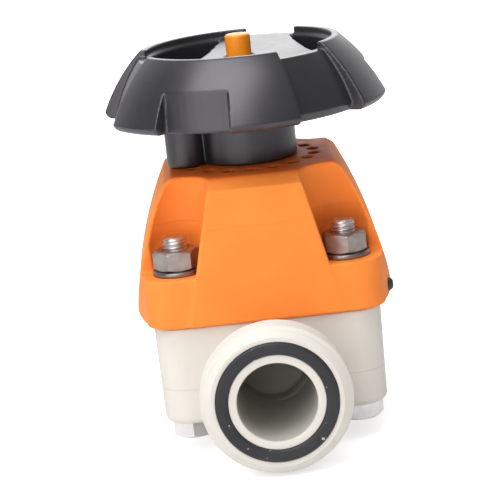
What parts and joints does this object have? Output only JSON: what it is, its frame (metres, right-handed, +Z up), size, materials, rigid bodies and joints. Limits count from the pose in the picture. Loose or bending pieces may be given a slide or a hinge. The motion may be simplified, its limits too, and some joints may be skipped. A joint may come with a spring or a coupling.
{
  "type": "diaphragm valve",
  "caption": "Weir type diaphragm valve with an orange bonnet, black lobed handwheel, position pin, wheel lock and threaded pipe ends.",
  "frame": {"origin": "centre of the flat face under the mounting foot", "axes": "+Z up the spindle to the handwheel, +Y along the pipe towards the rear end, +X across the pipe"},
  "size_m": [0.0916, 0.1242, 0.1314],
  "materials": {
    "body_plastic": "satin",
    "bonnet_plastic": "satin",
    "wheel_plastic": "satin",
    "indicator_plastic": "satin",
    "button_plastic": "satin",
    "plug_plastic": "satin",
    "ring_rubber": "matt",
    "diaphragm_rubber": "matt",
    "bush_brass": "turned",
    "insert_brass": "turned",
    "spindle_steel": "turned",
    "compressor_plastic": "satin",
    "retainer_plastic": "satin",
    "bearing_steel": "ground",
    "spring_steel": "drawn",
    "bolt_steel": "bright",
    "nut_steel": "dull",
    "washer_steel": "dull"
  },
  "bodies": {
    "valve": {"valve_body": "body_plastic", "front_union_ring": "ring_rubber", "rear_union_ring": "ring_rubber", "foot_inserts": "insert_brass", "diaphragm": "diaphragm_rubber", "bonnet": "bonnet_plastic", "bonnet_bolts": "bolt_steel", "bonnet_nuts": "nut_steel", "nut_washers": "washer_steel", "upper_thrust_washer": "bearing_steel", "lower_thrust_washer": "bearing_steel", "bearing_retainer": "retainer_plastic", "leak_plug": "plug_plastic"},
    "wheel": {"handwheel": "wheel_plastic", "drive_bush": "bush_brass", "wheel_pin": "bearing_steel", "bush_seal_ring": "ring_rubber", "lock_spring": "spring_steel"},
    "stem": {"spindle": "spindle_steel", "compressor": "compressor_plastic", "cross_pin": "spindle_steel", "diaphragm_stud": "spindle_steel", "position_indicator": "indicator_plastic"},
    "lock": {"lock_pin": "bearing_steel", "lock_button": "button_plastic"}
  },
  "joints": [
    {"name": "handwheel_turn", "type": "hinge", "parent": "valve", "child": "wheel", "pos_m": [0, 0, 0.1], "axis": [0, 0, 1], "range_deg": [-1080, 0]},
    {"name": "spindle_lift", "type": "slide", "parent": "valve", "child": "stem", "axis": [0, 0, 1], "range_m": [-0.012, 0], "deforming": ["diaphragm"]},
    {"name": "lock_press", "type": "slide", "parent": "wheel", "child": "lock", "axis": [0, 0, 1], "range_m": [-0.006, 0], "stiffness_N_per_m": 100, "springref_m": 0.003, "deforming": ["lock_spring"]}
  ],
  "couplings": [
    {"joint": "spindle_lift", "follows": "handwheel_turn", "m_per_rad": 0.0006366}
  ]
}
